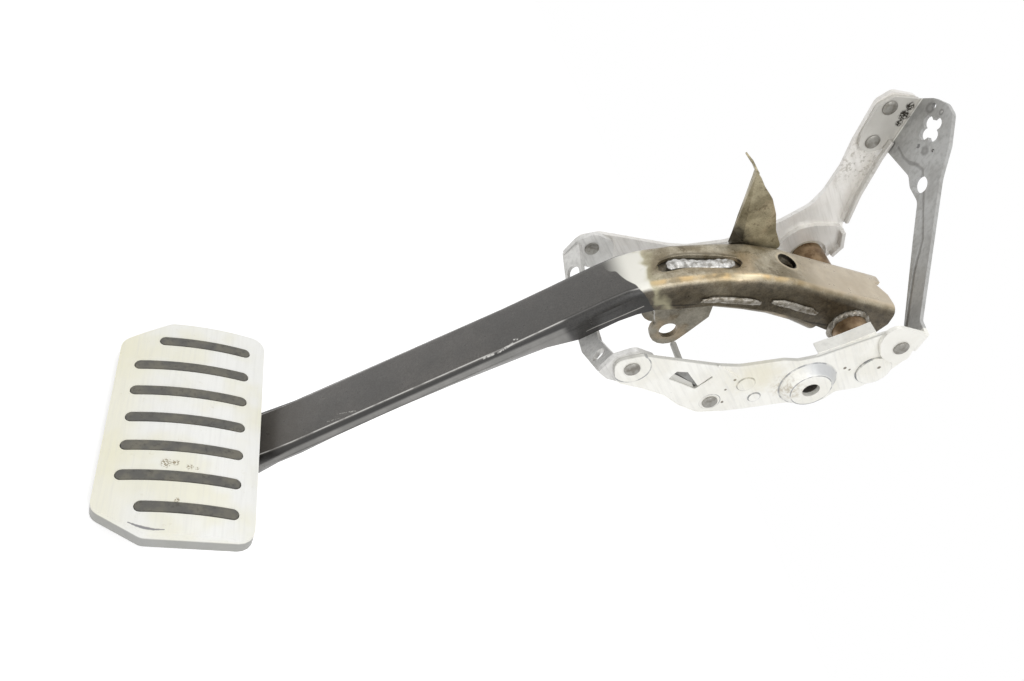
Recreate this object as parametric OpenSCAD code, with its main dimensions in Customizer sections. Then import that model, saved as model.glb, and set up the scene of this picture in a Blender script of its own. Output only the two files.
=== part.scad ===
// Hanging brake pedal with its riveted carrier bracket, in millimetres.
// +X points to the front of the car, +Y to its left, +Z up.
// The origin is the centre of the push rod pin bore in the pedal's clevis.

/* [Pad] */
// Width of the pad across the car
pad_w = 110; // [96:1:120]
// Height of the pad face, measured straight from edge to edge
pad_h = 61; // [57:0.5:68]
// Slope of the pad face against the floor, in degrees
pad_slope = 44.4; // [43:0.2:46]
// Radius of the curved pad face
pad_r = 115; // [100:1:160]
// Sideways offset of the pad from the arm
pad_offset = -6; // [-9:0.5:0]
// Sheet thickness of the steel cover
cover_t = 0.9; // [0.6:0.1:1.2]
// Depth of the cover's skirt at its edge
skirt_h = 6.5; // [6.3:0.1:7.5]
// Spacing of the slots in the cover
slot_pitch = 14.6; // [13.8:0.1:15.4]
// Width of a slot
slot_w = 5.1; // [4:0.1:6]
// Length of a long slot between the centres of its round ends
slot_len = 42.5; // [38:0.5:46]
// How much shorter the first and last slots are
slot_step = 8.6; // [6:0.2:10]
// Thickness of the steel plate behind the rubber
plate_t = 2.5; // [2:0.1:2.8]
// Thickness of the rubber between cover and plate
rubber_t = 4.1; // [3.8:0.1:4.3]

/* [Arm] */
// Half width of the arm under the pad
arm_half_low = 13.4; // [12.8:0.1:14]
// Half width of the arm from its middle to the hub
arm_half_top = 12.4; // [12.2:0.1:13]
// Sheet thickness of the two arm shells
shell_t = 1.8; // [1.5:0.1:2]
// Radius of the arm's long edges
edge_r = 4.2; // [3.6:0.1:4.6]
// Diameter of the round hole in the rear face
tool_hole_d = 8.4; // [6:0.2:9]
// Width of the wavy weld slot in the rear face
weld_slot_w = 7.6; // [6:0.2:8.4]
// Height of the two waves of the weld slot
weld_wave = 1.1; // [0.4:0.1:1.6]

/* [Clevis] */
// Diameter of the push rod pin bore
pin_bore_d = 8; // [7:0.1:9]
// Clear gap between the two ears
ear_gap = 11; // [10:0.2:11.4]
// Thickness of an ear
ear_t = 2.5; // [2:0.1:2.6]
// Radius of the ear round the bore
ear_r = 8; // [7:0.1:8.6]

/* [Pivot] */
// Pivot axis ahead of the push rod bore
pivot_x = 37.8; // [37:0.1:38.6]
// Pivot axis above the push rod bore
pivot_z = 69.3; // [68.5:0.1:70]
// Outer diameter of the pivot tube
tube_d = 15; // [14.6:0.1:16]
// Wall of the pivot tube
tube_t = 1.3; // [1:0.1:1.3]
// Wall of a bush, which sets the diameter of the pivot pin inside it
bush_t = 1.15; // [1:0.05:1.6]
// Radial running clearance between pin and bushes
run_gap = 0.05; // [0.03:0.01:0.08]
// Thickness of a bush flange
flange_t = 1; // [0.8:0.1:1.5]
// Side clearance between bush flange and bracket plate
side_gap = 0.3; // [0.2:0.05:0.4]

/* [Bracket] */
// Distance between the inner faces of the side plates
plate_gap = 72.4; // [70:0.2:76]
// Sheet thickness of the bracket
sheet_t = 2; // [1.6:0.1:2.2]
// Diameter of the large pressed boss on the right plate
boss_d = 24; // [22:0.5:24.5]
// Height of the large pressed boss
boss_h = 4; // [3:0.2:5]
// Bore of the boss for a fixing bolt
boss_bore_d = 7.3; // [6.6:0.1:7.6]
// Diameter of a rivet head
rivet_head_d = 6.4; // [5.8:0.1:7]
// Diameter of a rivet shank
rivet_d = 4.2; // [3.6:0.1:4.8]
// Width of the front strap
strap_w = 9.5; // [9:0.1:11]
// Thickness of the front strap
strap_t = 2.3; // [2:0.1:2.6]
// Diameter of the two holes in the front strap
strap_hole_d = 6.4; // [5.6:0.1:6.8]
// Diameter of the round hole in the rear plate
rear_hole_d = 7; // [6:0.1:7.6]
// Gap left between the resting arm and the front strap
rest_gap = 0.4; // [0.35:0.05:0.6]

/* [Hidden] */
$fn = 48;
fit = 0.05;
// Reach of a cut that goes right through
through = 60;

zinc = [0.72, 0.70, 0.64];
olive = [0.47, 0.41, 0.31];

// Small helpers for vectors, rounded outlines and swept bodies
function unit(v) = v / norm(v);
function mix(a, b, t) = a + (b - a) * t;

function corner(a, b, c, r, steps) =
    let (u1 = unit(a - b), u2 = unit(c - b), half = acos(u1 * u2) / 2,
        ctr = b + unit(u1 + u2) * r / sin(half),
        s = b + u1 * r / tan(half) - ctr, e = b + u2 * r / tan(half) - ctr,
        a0 = atan2(s[1], s[0]), sweep = (atan2(e[1], e[0]) - a0 + 540) % 360 - 180)
    [for (i = [0:steps]) ctr + r * [cos(a0 + sweep * i / steps), sin(a0 + sweep * i / steps)]];

function xy(p) = [p[0], p[1]];

// Each point is [x, y, corner radius]
function rounded(pts, steps = 4) =
    let (n = len(pts))
    [for (i = [0:n - 1])
        each corner(xy(pts[(i + n - 1) % n]), xy(pts[i]), xy(pts[(i + 1) % n]), pts[i][2], steps)];

// Triangles between ring i and the next one
function band(i, n) = [for (j = [0:n - 1]) let (k = (j + 1) % n)
    each [[i * n + j, (i + 1) * n + k, (i + 1) * n + j], [i * n + j, i * n + k, (i + 1) * n + k]]];
// End faces: a fan for a round bead, a strip for the open section of a shell
function fan(n, base) = [for (j = [1:n - 2]) [base, base + j, base + j + 1]];
function strip(n, base) = [for (j = [0:n / 2 - 2]) let (a = base + j, b = base + n - 1 - j)
    each [[a, a + 1, b], [a + 1, b - 1, b]]];
function flipped(faces) = [for (f = faces) [f[2], f[1], f[0]]];

module sweep(rings, open_section = false) {
    n = len(rings[0]);
    m = len(rings);
    foot = open_section ? strip(n, 0) : fan(n, 0);
    head = open_section ? strip(n, (m - 1) * n) : fan(n, (m - 1) * n);
    polyhedron(points = [for (ring = rings) each ring], convexity = 6,
        faces = concat(flipped(foot), [for (i = [0:m - 2]) each band(i, n)], head));
}

// A flat outline given in X and Z, standing upright between two Y values
module side_sheet(outline, y0, y1) {
    translate([0, max(y0, y1), 0]) rotate([90, 0, 0])
        linear_extrude(height = abs(y1 - y0)) polygon(outline);
}

module cross_rod(x, z, r, y0, y1) {
    translate([x, max(y0, y1), z]) rotate([90, 0, 0]) cylinder(r = r, h = abs(y1 - y0));
}

// Pad, in its own frame: x runs up the face, z points out of the face
pad_centre = [-61.9, pad_offset, -196.3];
face_top = pad_r - sqrt(pad_r * pad_r - pad_h * pad_h / 4);
chamfer_x = 19.5;
chamfer_y = 11;
pad_corner_r = 6;
slot_count = 7;
plate_inset = 3.5;
skin_r = pad_r - cover_t;
plate_top_r = skin_r - rubber_t;
plate_low_r = plate_top_r - plate_t;

module on_pad() {
    translate(pad_centre) rotate([0, -pad_slope, 0]) children();
}

function pad_outline(inset) =
    let (h = pad_h / 2 - inset, w = pad_w / 2 - inset, r = max(pad_corner_r - inset, 1))
    rounded([[h, -w, r], [h, w, r], [-h + chamfer_x, w, r], [-h, w - chamfer_y, r],
        [-h, -w + chamfer_y, r], [-h + chamfer_x, -w, r]]);

module pad_drum(r) {
    translate([0, 0, face_top - pad_r]) rotate([90, 0, 0])
        cylinder(r = r, h = 2 * pad_w, center = true, $fn = 180);
}

module pad_block(inset, r, low) {
    intersection() {
        translate([0, 0, low]) linear_extrude(height = 2 * skirt_h) polygon(pad_outline(inset));
        pad_drum(r);
    }
}

function slot_start(i) = -slot_len / 2 + ((i == 0 || i == slot_count - 1) ? slot_step : 0);

module slot_shapes(w) {
    for (i = [0:slot_count - 1])
        let (y = (i - (slot_count - 1) / 2) * slot_pitch, x0 = slot_start(i), x1 = slot_len / 2) {
            translate([x0, y - w / 2, 0]) cube([x1 - x0, w, 2 * skirt_h]);
            for (x = [x0, x1]) translate([x, y, 0]) cylinder(d = w, h = 2 * skirt_h, $fn = 24);
        }
}

module pad_cover() color([0.86, 0.86, 0.82]) on_pad() difference() {
    pad_block(0, pad_r, -skirt_h);
    pad_block(cover_t, skin_r, -skirt_h - 1);
    slot_shapes(slot_w);
}

module pad_rubber() color([0.33, 0.33, 0.33]) on_pad() {
    rib_gap = 0.35;
    difference() {
        union() {
            pad_block(cover_t + 2 * fit, skin_r - 2 * fit, -skirt_h + 0.8);
            intersection() {
                slot_shapes(slot_w - 2 * rib_gap);
                pad_drum(pad_r + 0.3);
            }
        }
        pad_block(plate_inset, plate_top_r, -2 * skirt_h);
    }
}

module pad_plate() color([0.3, 0.3, 0.31]) on_pad() difference() {
    pad_block(plate_inset + 0.1, plate_top_r - fit, -2 * skirt_h);
    pad_drum(plate_low_r);
}

// Arm, as stations of one point on the rear face and one on the front face.
// The foot stations follow the underside of the pad plate.
function from_pad(x, z) = [
    pad_centre[0] + x * cos(pad_slope) - z * sin(pad_slope),
    pad_centre[2] + x * sin(pad_slope) + z * cos(pad_slope)];
function under_plate(x, depth) =
    from_pad(x, face_top - pad_r + sqrt(plate_low_r * plate_low_r - x * x) - 2 * fit - depth);

foot_rear = [under_plate(-12, 0), under_plate(0, 0), under_plate(9, 0.1), under_plate(19, 1.2),
    under_plate(28.5, 3.2)];
foot_front = [under_plate(-12, 11), under_plate(0, 12), under_plate(10, 12.2),
    under_plate(22, 12.5), under_plate(34, 13.5)];
arm_rear = concat(foot_rear, [[-33.3, -173.6], [-33, -164.1], [-33.1, -148.1], [-33.3, -118.1],
    [-33.2, -88.1], [-33.4, -58.1], [-34, -33.1], [-34.6, -16.1], [-34.4, -7.1], [-32.4, 1.9],
    [-27.2, 14.9], [-19.9, 29.9], [-10.9, 42.9], [-0.4, 54.7], [11.1, 64.5], [22.6, 74.7],
    [33.6, 84.4], [44.6, 94]]);
arm_front = concat(foot_front, [[-23.2, -176.6], [-22.4, -165.6], [-22.3, -149.1], [-23, -118.6],
    [-22.4, -88.1], [-21, -58.1], [-19.3, -33.1], [-18.6, -15.6], [-17.6, -8.1], [-15.6, -1.3],
    [-9.9, 7.9], [-2.9, 19.4], [5.1, 30.1], [13.4, 38.8], [23.6, 47.1], [34.1, 53.5],
    [44.1, 59.4], [55.5, 66]]);
last = len(arm_rear) - 1;
hub_station = 14;
waist_station = 16;
waist_depth = 0.9;

function arm_half(i) =
    i >= hub_station ? arm_half_top - (i == waist_station ? waist_depth : 0)
    : mix(arm_half_low, arm_half_top, i / hub_station);
function arm_depth(i) = norm(arm_front[i] - arm_rear[i]);
// Point at a depth below the rear face, at a sideways place, on station i
function arm_point(i, side, depth) =
    let (p = arm_rear[i] + unit(arm_front[i] - arm_rear[i]) * depth) [p[0], side, p[1]];
// The same between two stations, for a station number with a fraction
function arm_at(s, side, depth) =
    let (i = min(floor(s), last - 1)) mix(arm_point(i, side, depth), arm_point(i + 1, side, depth), s - i);

arc_steps = 5;
function half_ring(h, r, lip) = concat(
    [[-(h - edge_r + r), lip]],
    [for (k = [0:arc_steps]) let (a = 90 * k / arc_steps)
        [-(h - edge_r + r * cos(a)), edge_r - r * sin(a)]],
    [for (k = [arc_steps:-1:0]) let (a = 90 * k / arc_steps)
        [h - edge_r + r * cos(a), edge_r - r * sin(a)]],
    [[h - edge_r + r, lip]]);
function reversed(v) = [for (i = [len(v) - 1:-1:0]) v[i]];
function shell_ring(h, lip) = concat(half_ring(h, edge_r, lip),
    reversed(half_ring(h, edge_r - shell_t, lip)));

// How far the rear shell's side walls reach towards the front face
function rear_lip(i) = arm_depth(i) * (i <= 10 ? 0.46 : i == 11 ? 0.86 : 0.78);
function front_lip(i) = min(arm_depth(i) * 0.62, arm_depth(i) - edge_r - 0.5);
function rear_station(i) = [for (p = shell_ring(arm_half(i), rear_lip(i)))
    arm_point(i, p[0], p[1])];
function front_station(i) = let (d = arm_depth(i), h = arm_half(i) - shell_t - fit)
    [for (p = reversed(shell_ring(h, front_lip(i)))) arm_point(i, p[0], d - p[1])];

slot_from = [-32.8, 7.7];
slot_to = [-13.4, 38];
slot_steps = 20;
slot_side = -1.4;
function slot_wave(t) = slot_side + weld_wave * sin(t * 360 - 30);

module weld_slot_cut() {
    along = unit(slot_to - slot_from);
    length = norm(slot_to - slot_from);
    angle = atan2(along[1], along[0]);
    translate([slot_from[0], 0, slot_from[1]]) rotate([0, -angle, 0])
        translate([0, 0, -4]) linear_extrude(height = 9) polygon(concat(
            [for (i = [0:slot_steps]) let (t = i / slot_steps)
                [length * t, slot_wave(t) + weld_slot_w / 2 * sqrt(1 - pow(2 * t - 1, 8))]],
            [for (i = [slot_steps - 1:-1:1]) let (t = i / slot_steps)
                [length * t, slot_wave(t) - weld_slot_w / 2 * sqrt(1 - pow(2 * t - 1, 8))]]));
}

tool_hole = [-0.4, 57.7];
tool_hole_y = 2.5;
module tool_hole_cut() {
    along = unit(arm_rear[19] - arm_rear[18]);
    translate([tool_hole[0], tool_hole_y, tool_hole[1]]) rotate([0, -atan2(along[1], along[0]), 0])
        translate([0, 0, -5]) cylinder(d = tool_hole_d, h = 12);
}

// Notch beside the middle of the rear face at the hub end, with a hook to its left
hub_end = [40.6, 90.5];
module hub_notch() {
    along = unit(arm_rear[last] - arm_rear[last - 1]);
    translate([hub_end[0], 0, hub_end[1]]) rotate([0, -atan2(along[1], along[0]), 0])
        translate([0, 0, -6]) linear_extrude(height = 12) polygon([[9, 12], [3.2, 12], [1.4, 7.5], [2.6, 5.6],
            [-2.6, 5.2], [-3, 3.2], [0.9, -2.5], [2.4, -7.3], [3.4, -9], [9, -9]]);
}

module arm_rear_shell() color(olive) difference() {
    sweep([for (i = [0:last]) rear_station(i)], true);
    weld_slot_cut();
    tool_hole_cut();
    cross_rod(pivot_x, pivot_z, tube_d / 2 + fit, -through, through);
    // Slanted end of the side walls
    side_sheet([[38.5, 93.5], [41.8, 90.6], [50.2, 83.9], [52.6, 79.5], [50.2, 67], [58, 60], [62, 80],
        [50, 100], [40, 100]], -20, 20);
    hub_notch();
}

module arm_front_shell() color([0.13, 0.13, 0.13]) difference() {
    sweep([for (i = [0:last - 2]) front_station(i)], true);
    cross_rod(pivot_x, pivot_z, tube_d / 2 + fit, -through, through);
    for (s = [-1, 1]) ear_sheet(s, 0.15);
}

// Clevis for the push rod: a web behind the rear face and two ears
ear_in = ear_gap / 2;
ear_out = ear_in + ear_t;
web_t = 2.4;
web_drop = shell_t + 0.5;
web_from = 14.15;
web_to = 17;
web_steps = 6;
function web_line(depth) = [for (k = [0:web_steps])
    let (p = arm_at(mix(web_from, web_to, k / web_steps), 0, depth)) [p[0], p[2]]];

function ear_outline(grow) = let (r = ear_r + grow, mid = web_drop + web_t / 2,
        top = arm_at(16.1, 0, mid), low = arm_at(web_from, 0, mid))
    concat([[low[0] - grow, low[2] - grow]],
        [for (a = [205:20:385]) r * [cos(a), sin(a)]],
        [[2.2 + grow, 17.5 + grow], [top[0] + grow, top[2] + grow]]);

module ear_sheet(s, grow) {
    side_sheet(ear_outline(grow), s * (ear_in - grow), s * (ear_out + grow));
}

module pushrod_clevis() color(olive) difference() {
    union() {
        side_sheet(concat(web_line(web_drop), reversed(web_line(web_drop + web_t))), -ear_out, ear_out);
        for (s = [-1, 1]) ear_sheet(s, 0);
    }
    cross_rod(0, 0, pin_bore_d / 2, -20, 20);
}

// Welds: beads that follow a line on the arm
bead_sides = 8;
function bead_ring(c, u, v, a, b) = [for (k = [0:bead_sides - 1])
    let (t = 360 * k / bead_sides) c + u * a * cos(t) + v * b * sin(t)];

slot_run = [14.45, 16.65];
module slot_weld() color([0.62, 0.6, 0.56]) {
    steps = 16;
    bead_half = weld_slot_w / 2 - 1.1;
    sweep([for (k = [0:steps]) let (t = mix(0.1, 0.9, k / steps), f = mix(slot_run[0], slot_run[1], t),
        size = (k == 0 || k == steps) ? 0.5 : 1, out = -unit(arm_front[floor(f)] - arm_rear[floor(f)]))
        bead_ring(arm_at(f, slot_wave(t) - 0.7, 0.6), [out[0], 0, out[1]], [0, 1, 0],
            1.1 * size, bead_half * size)]);
}

module seam_welds() color([0.5, 0.48, 0.44]) {
    steps = 6;
    for (s = [-1, 1]) for (run = [[15.5, 17.28, 4.4], [17.64, 19.34, 6.2]])
        sweep([for (k = [0:steps]) let (f = mix(run[0], run[1], k / steps),
            i = floor(f), side = mix(arm_half(i), arm_half(i + 1), f - i),
            size = (k == 0 || k == steps) ? 0.5 : 1,
            c = arm_at(f, s * (side + 0.9 + fit), mix(rear_lip(i), rear_lip(i + 1), f - i) - run[2]))
            bead_ring(c, [0, 1, 0], [0.6, 0, -0.8], 0.9 * size, 1.7 * size)]);
}

module tube_welds() color([0.62, 0.6, 0.56]) {
    for (s = [-1, 1])
        translate([pivot_x, s * (arm_half_top + fit), pivot_z]) rotate([-s * 90, 0, 0])
            rotate_extrude() polygon([[tube_d / 2 + fit, 0], [tube_d / 2 + 1.9, 0],
                [tube_d / 2 + 1.7, 0.7], [tube_d / 2 + 1, 1.5], [tube_d / 2 + fit, 1.9]]);
}

// A bead in the corner between the pad plate and the rounded edge of the arm, on both sides
foot_bead = 1.5;
foot_bead_y = arm_half_low - edge_r
    + sqrt(pow(edge_r + foot_bead + fit, 2) - pow(edge_r - foot_bead - fit, 2));
module foot_weld() color([0.2, 0.2, 0.2]) on_pad()
    for (s = [-1, 1])
        translate([0, s * foot_bead_y - pad_offset, face_top - pad_r]) rotate([90, 0, 0])
            rotate([0, 0, 87]) rotate_extrude(angle = 9, $fn = 180)
                translate([plate_low_r - foot_bead - fit, 0]) circle(r = foot_bead, $fn = 16);

// Sheet-metal flag on the arm's left side that works the lamp switch
flag_t = 1.4;
flag_wing_y = 3.4;
module switch_flag() color(olive) {
    y0 = arm_half_top + fit;
    side_sheet(rounded([[-12.4, 37.4, 1], [-9.6, 43.6, 2], [-18.5, 48.7, 4], [-25.2, 52.8, 4], [-42.2, 57.4, 0.6],
        [-33.3, 57.9, 6], [-25.5, 59.3, 8], [-16.8, 58.8, 8], [-8.2, 56.8, 3], [3.5, 56.5, 2], [-1, 47, 1],
        [-8, 36.4, 1]]), y0, y0 + flag_t);
    // Wing folded outwards along the slanting line
    hull() {
        for (p = [[-10.6, 43.4], [-24.6, 52], [-41.2, 56.9]])
            translate([p[0], y0, p[1]]) rotate([-90, 0, 0]) cylinder(d = 1.2, h = flag_t, $fn = 16);
        for (p = [[-14.8, 41.6], [-33, 52.8]])
            translate([p[0], y0 + flag_wing_y, p[1]]) rotate([-90, 0, 0]) cylinder(d = 1, h = 0.8, $fn = 16);
    }
}

// Pivot: tube welded through the arm, a bush in each end, and the pin through both plates
half_gap = plate_gap / 2;
tube_half = half_gap - side_gap - flange_t;
bush_r = tube_d / 2 - tube_t;
pin_r = bush_r - bush_t - run_gap;
bush_len = 14;

module pivot_tube() color([0.55, 0.45, 0.33]) difference() {
    cross_rod(pivot_x, pivot_z, tube_d / 2, -tube_half, tube_half);
    cross_rod(pivot_x, pivot_z, bush_r, -tube_half - 1, tube_half + 1);
}

module bush(s) color([0.82, 0.8, 0.72]) difference() {
    union() {
        cross_rod(pivot_x, pivot_z, bush_r, s * (tube_half - bush_len), s * tube_half);
        cross_rod(pivot_x, pivot_z, tube_d / 2, s * tube_half, s * (tube_half + flange_t));
    }
    cross_rod(pivot_x, pivot_z, pin_r + run_gap, -through, through);
}

module bush_left() bush(1);
module bush_right() bush(-1);

pin_head_r = pin_r + 2.4;
pin_head_t = 0.9;
module pivot_pin() color([0.7, 0.7, 0.68]) {
    outer = half_gap + sheet_t;
    cross_rod(pivot_x, pivot_z, pin_r, -outer, outer);
    for (s = [-1, 1])
        cross_rod(pivot_x, pivot_z, pin_head_r, s * outer, s * (outer + pin_head_t));
}

// Bracket side plates
boss_at = [29.4, 43];
side_rivet_at = [16, 4.2];
strap_rivet_at = [-22.1, -16.6];
foot_rivet_at = [28.1, 81.3];
upper_rivet_at = [[-11.2, 107.8], [-24.4, 116.9]];

lower_edge = [[44.6, 71.4, 8], [45.9, 61.9, 6], [42.1, 52.4, 3], [44.8, 45.9, 5], [41.2, 37.9, 6],
    [36.3, 31.9, 8], [28.7, 14.2, 16], [25.4, 7.4, 10], [19.3, -2.6, 8], [9.8, -8, 8],
    [0.7, -10.9, 10], [-8.4, -17, 16], [-18.4, -25.1, 6]];
lower_end = [[-29.4, -21.1, 4], [-25.9, -10.6, 5], [-2.3, 14.1, 30], [3.1, 21.4, 16],
    [10.1, 37.9, 8]];

right_outline = rounded(concat([[14, 42.9, 4], [16.2, 49.9, 2], [18.4, 74.9, 2], [20, 84, 5],
    [25.5, 88.6, 3], [33.5, 84.6, 6], [39.5, 82.5, 4]], lower_edge, lower_end));
left_outline = rounded(concat([[11.6, 49.9, 4], [12.4, 63.9, 8], [10.9, 76.9, 8], [6.5, 84.4, 6],
    [-3.4, 93.9, 8], [-14, 100.9, 8], [-28.8, 112.9, 4], [-29.9, 119.9, 3], [-23.4, 127.7, 3],
    [-19.8, 129.6, 1.5], [-12.6, 121.2, 2], [-1.2, 109.8, 8], [13.6, 98.2, 8], [27, 90, 6],
    [31, 88.6, 2], [40.8, 86.3, 4]], lower_edge, lower_end));

module pin_holes() {
    cross_rod(pivot_x, pivot_z, pin_r + fit, -through, through);
    cross_rod(strap_rivet_at[0], strap_rivet_at[1], rivet_d / 2 + fit, -through, through);
}

relief = 0.4;
module right_plate() color(zinc) {
    y_in = -half_gap;
    y_out = -half_gap - sheet_t;
    difference() {
        union() {
            side_sheet(right_outline, y_in, y_out);
            side_sheet([[15.9, 51], [17.9, 51], [18.9, 62], [18.9, 74.4], [16.9, 74.4], [16.9, 62]], y_in + 5.5, y_in);
        }
        pin_holes();
        cross_rod(boss_at[0], boss_at[1], boss_d / 2 - sheet_t, -through, 0);
        for (p = [side_rivet_at, foot_rivet_at]) cross_rod(p[0], p[1], rivet_d / 2 + fit, -through, 0);
        side_sheet([[-7.8, -6.2], [-10, -1.9], [-7.1, 1.7], [4.2, 2.9], [4.5, 1.1]], -through, 0);
        side_sheet([[3.6, 2], [4.5, 1.1], [2, 9.6], [1.1, 9.4]], -through, 0);
    }
    // Pressed boss, a dished ring with its top plate
    translate([boss_at[0], y_in, boss_at[1]]) rotate([90, 0, 0]) rotate_extrude()
        polygon([[boss_bore_d / 2, boss_h], [boss_d / 2 - 2 * sheet_t, boss_h],
            [boss_d / 2 - sheet_t, 0], [boss_d / 2, 0], [boss_d / 2, sheet_t],
            [boss_d / 2 - sheet_t - 0.6, boss_h + sheet_t - 0.6],
            [boss_d / 2 - sheet_t - 1.2, boss_h + sheet_t], [boss_bore_d / 2, boss_h + sheet_t]]);
    // Tongue that stands back inside the window
    side_sheet([[-8.4, -6.8], [-9.2, -3.9], [1.4, 1.2], [5.4, 0.8], [5, 0.3]], y_in - sheet_t / 2, y_in);
    // Low relief: a slanted rib and two round pads
    side_sheet([[-3.9, 13.9], [-3.3, 12.8], [8.9, 17.8], [8.4, 19]], y_out - relief, y_out);
    for (p = [[14.2, 20.3, 3.7], [24.4, 21.2, 2.5]]) cross_rod(p[0], p[1], p[2], y_out - relief, y_out);
}

ring_h = 2.2;
ring_hole_d = tube_d + 3.4;
module left_plate() color([0.76, 0.74, 0.68]) {
    y_in = half_gap;
    y_out = half_gap + sheet_t;
    difference() {
        union() {
            side_sheet(left_outline, y_in, y_out);
            // Stiffening flange along the front edge of the upper arm
            side_sheet([[0.4, 106.3], [12.4, 96.6], [25.6, 88.6], [27, 90.2], [13.6, 98.4], [1.6, 107.9]],
                y_in - 3, y_in);
            // Raised pad round the end of the pivot tube, with its own front flange
            side_sheet(rounded([[24, 58.5, 3], [20.6, 65, 6], [19.6, 70.5, 6], [22, 77.5, 8], [28.2, 87.2, 2],
                [31, 88.4, 1], [40.5, 85.9, 3], [43.6, 78, 6], [43.2, 71, 4], [44.4, 62, 5], [41, 54.5, 3],
                [31, 53.5, 5]]), y_in - ring_h, y_in);
            side_sheet([[31.2, 88.2], [39.6, 85.6], [42.6, 80], [41, 79.2], [38.4, 84.2], [30.8, 86.6]],
                y_in - 5, y_in);
        }
        pin_holes();
        for (p = upper_rivet_at) cross_rod(p[0], p[1], rivet_d / 2 + fit, 0, through);
        cross_rod(pivot_x, pivot_z, ring_hole_d / 2, 0, y_in);
    }
}

// Front strap: it bows round the arm and is the rest stop of the pedal
strap_lean = 21;
strap_tab_y = half_gap - fit;
strap_bend_y = arm_half_top + 1.5;
strap_mid = [arm_front[11][0] + rest_gap + strap_w / 2 * sin(strap_lean) + 0.3, -30.5];
strap_end = [-27.1, -24.7];
strap_end_y = strap_tab_y - strap_t / 2;
strap_turn = atan2((strap_mid - strap_end) * [cos(strap_lean), sin(strap_lean)],
    strap_end_y - strap_bend_y);
strap_hole_y = 24.5;

// Upright cut through the strap at a place on its rear face
module strap_cut(at, y) {
    translate([at[0], y, at[1]]) rotate([0, -strap_lean, 0])
        translate([0, -fit, -strap_w / 2]) cube([strap_t, 2 * fit, strap_w]);
}

module front_strap() color(zinc) difference() {
    union() {
        hull() for (s = [-1, 1]) strap_cut(strap_mid, s * strap_bend_y);
        for (s = [-1, 1]) {
            hull() {
                strap_cut(strap_mid, s * strap_bend_y);
                strap_cut(strap_end, s * strap_end_y);
            }
            side_sheet(rounded([[-25.6, -28.9, 1], [-20, -27.5, 3], [-11, -20.6, 4],
                [-11.4, -10.6, 4], [-20, -6.6, 4], [-28.5, -12, 4], [-29.8, -20.5, 1]]),
                s * strap_tab_y, s * (strap_tab_y - strap_t));
        }
    }
    cross_rod(strap_rivet_at[0], strap_rivet_at[1], rivet_d / 2 + fit, -through, through);
    for (s = [-1, 1])
        let (at = mix(strap_mid, strap_end, (strap_hole_y - strap_bend_y) / (strap_end_y - strap_bend_y)))
            translate([at[0], s * strap_hole_y, at[1]]) rotate([0, -strap_lean, 0])
                rotate([0, 90, s * strap_turn]) cylinder(d = strap_hole_d, h = 12, center = true);
}

// Rear mounting plate with its diagonal strap, one folded sheet.
// In its own frame x runs down and forward, y across and z out of the sheet.
rear_tilt = 42.45;
rear_lean = -3.6;
rear_height = 82.1;
rear_t = 1.8;
module on_rear() {
    translate([0, half_gap, 0]) rotate([0, rear_tilt, 0]) translate([0, 0, rear_height])
        rotate([rear_lean, 0, 0]) translate([0, -half_gap, 0]) children();
}
rear_outline = rounded([[-102.5, 36.1, 1], [-107.5, 28.3, 6], [-109.4, 21, 5], [-108.2, 15.5, 4],
    [-98.9, 7.6, 6], [-87.6, 1.4, 20], [-43.9, -33.6, 3], [-42.6, -40.1, 0.4], [-32.8, -40.1, 0.4],
    [-36.8, -29.4, 4], [-62, -7.1, 12], [-74.7, 3.7, 4], [-76, 11.3, 5], [-78.8, 15.5, 4],
    [-78.6, 36.1, 0.6]]);
lobe_at = [-98.2, 20.6];
rear_hole_at = [-80.3, 7.6];
small_holes = [[-105.3, 26.2, 2.4], [-90, 20.5, 1.8], [-93.1, 12.8, 1.4]];

module rear_mount_plate() color([0.6, 0.59, 0.56]) {
    difference() {
        on_rear() translate([0, 0, -rear_t]) linear_extrude(height = rear_t) polygon(rear_outline);
        on_rear() {
            for (a = [0:90:270]) translate([lobe_at[0], lobe_at[1], 0] + 3.3 * [cos(a + 20), sin(a + 20), 0])
                cylinder(d = 5, h = 10, center = true);
            translate([lobe_at[0], lobe_at[1], 0]) cylinder(d = 7, h = 10, center = true);
            translate([rear_hole_at[0], rear_hole_at[1], 0]) cylinder(d = rear_hole_d, h = 10, center = true);
            for (p = small_holes) translate([p[0], p[1], 0]) cylinder(d = p[2], h = 10, center = true);
        }
    }
    // Tab riveted inside the left plate's upper arm
    difference() {
        side_sheet(rounded([[-21.4, 129.7, 1], [-4.6, 114.3, 2], [-6, 106, 3], [-11, 101.2, 4], [-17, 104, 8],
            [-28, 112.6, 3], [-28.6, 119.6, 3]]), half_gap - fit, half_gap - fit - rear_t);
        for (p = upper_rivet_at) cross_rod(p[0], p[1], rivet_d / 2 + fit, 0, through);
    }
    // Foot riveted outside the right plate
    difference() {
        side_sheet(rounded([[26.2, 91.8, 0.6], [33.4, 85.2, 0.6], [37.4, 83, 3], [36.6, 77, 6], [29, 72.9, 6],
            [21, 73.9, 4], [16, 77, 5], [15.4, 82.4, 5]]), -half_gap - sheet_t - fit, -half_gap - sheet_t - fit - rear_t);
        cross_rod(foot_rivet_at[0], foot_rivet_at[1], rivet_d / 2 + fit, -through, 0);
    }
}

// Fasteners
module boss_nut() color([0.35, 0.34, 0.32]) difference() {
    translate([boss_at[0], -half_gap - boss_h + fit, boss_at[1]]) rotate([-90, 0, 0])
        cylinder(d = 12.4, h = 6.5, $fn = 6);
    cross_rod(boss_at[0], boss_at[1], 3.4, -through, 0);
}

peg_d = 2.8;
peg_at = [0.5, -0.1];
module spring_peg() color([0.7, 0.7, 0.68])
    cross_rod(peg_at[0], peg_at[1], peg_d / 2, -half_gap + fit, -half_gap + 21);

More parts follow.
